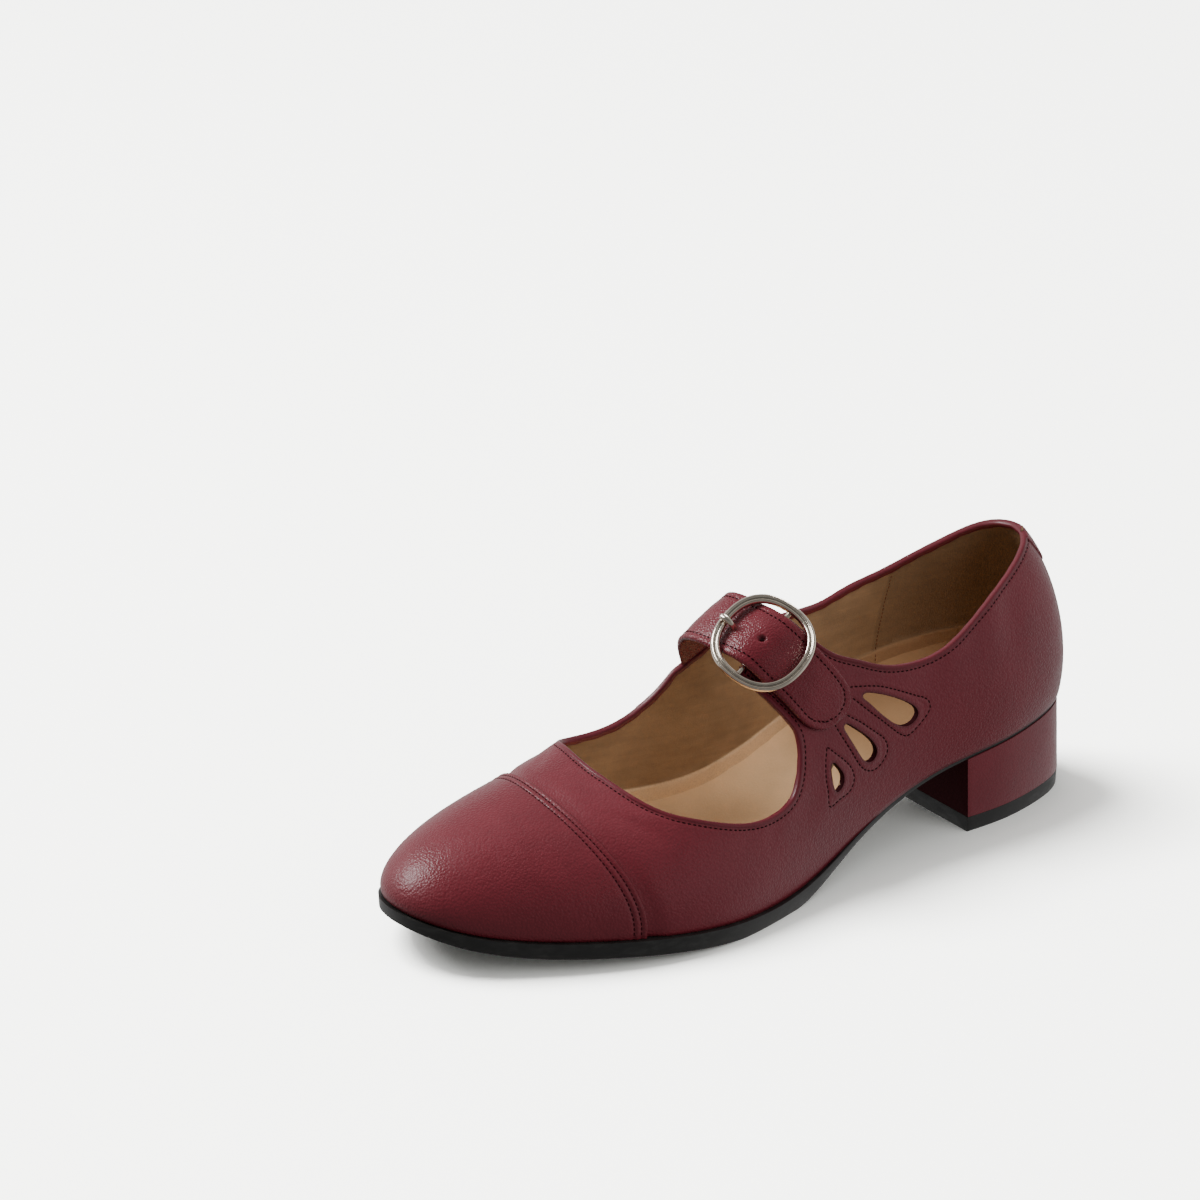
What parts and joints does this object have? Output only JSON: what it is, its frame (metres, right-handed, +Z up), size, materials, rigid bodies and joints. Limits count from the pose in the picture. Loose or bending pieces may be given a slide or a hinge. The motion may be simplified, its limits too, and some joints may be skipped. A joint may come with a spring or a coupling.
{
  "type": "mary jane shoe",
  "caption": "Closed-toe leather Mary Jane with a low block heel, toe cap, teardrop cut-outs and an instep strap held by a large round buckle; left foot.",
  "frame": {"origin": "on the floor, below the middle of the shoe's bounding box", "axes": "toe towards -Y, heel towards +Y, lateral (outer) side of the left foot towards +X, +Z up"},
  "size_m": [0.0876, 0.2502, 0.0896],
  "materials": {
    "upper_leather": "fine-grained burgundy leather with a soft gloss",
    "cap_leather": "fine-grained burgundy leather with a soft gloss",
    "strap_leather": "fine-grained burgundy leather, stitched along both edges",
    "tab_leather": "burgundy leather",
    "buckle_metal": "warm nickel, softly polished",
    "insole_leather": "matt tan leather",
    "sole_rubber": "black, satin edge",
    "heel_leather": "burgundy leather cover over a rigid heel",
    "lift_rubber": "black, matt"
  },
  "bodies": {
    "root": {"upper": "upper_leather", "toe_cap": "cap_leather", "strap": "strap_leather", "buckle_ring": "buckle_metal", "buckle_prong": "buckle_metal", "buckle_tab": "tab_leather", "insole": "insole_leather", "outsole": "sole_rubber", "heel_block": "heel_leather", "top_lift": "lift_rubber"}
  },
  "joints": []
}
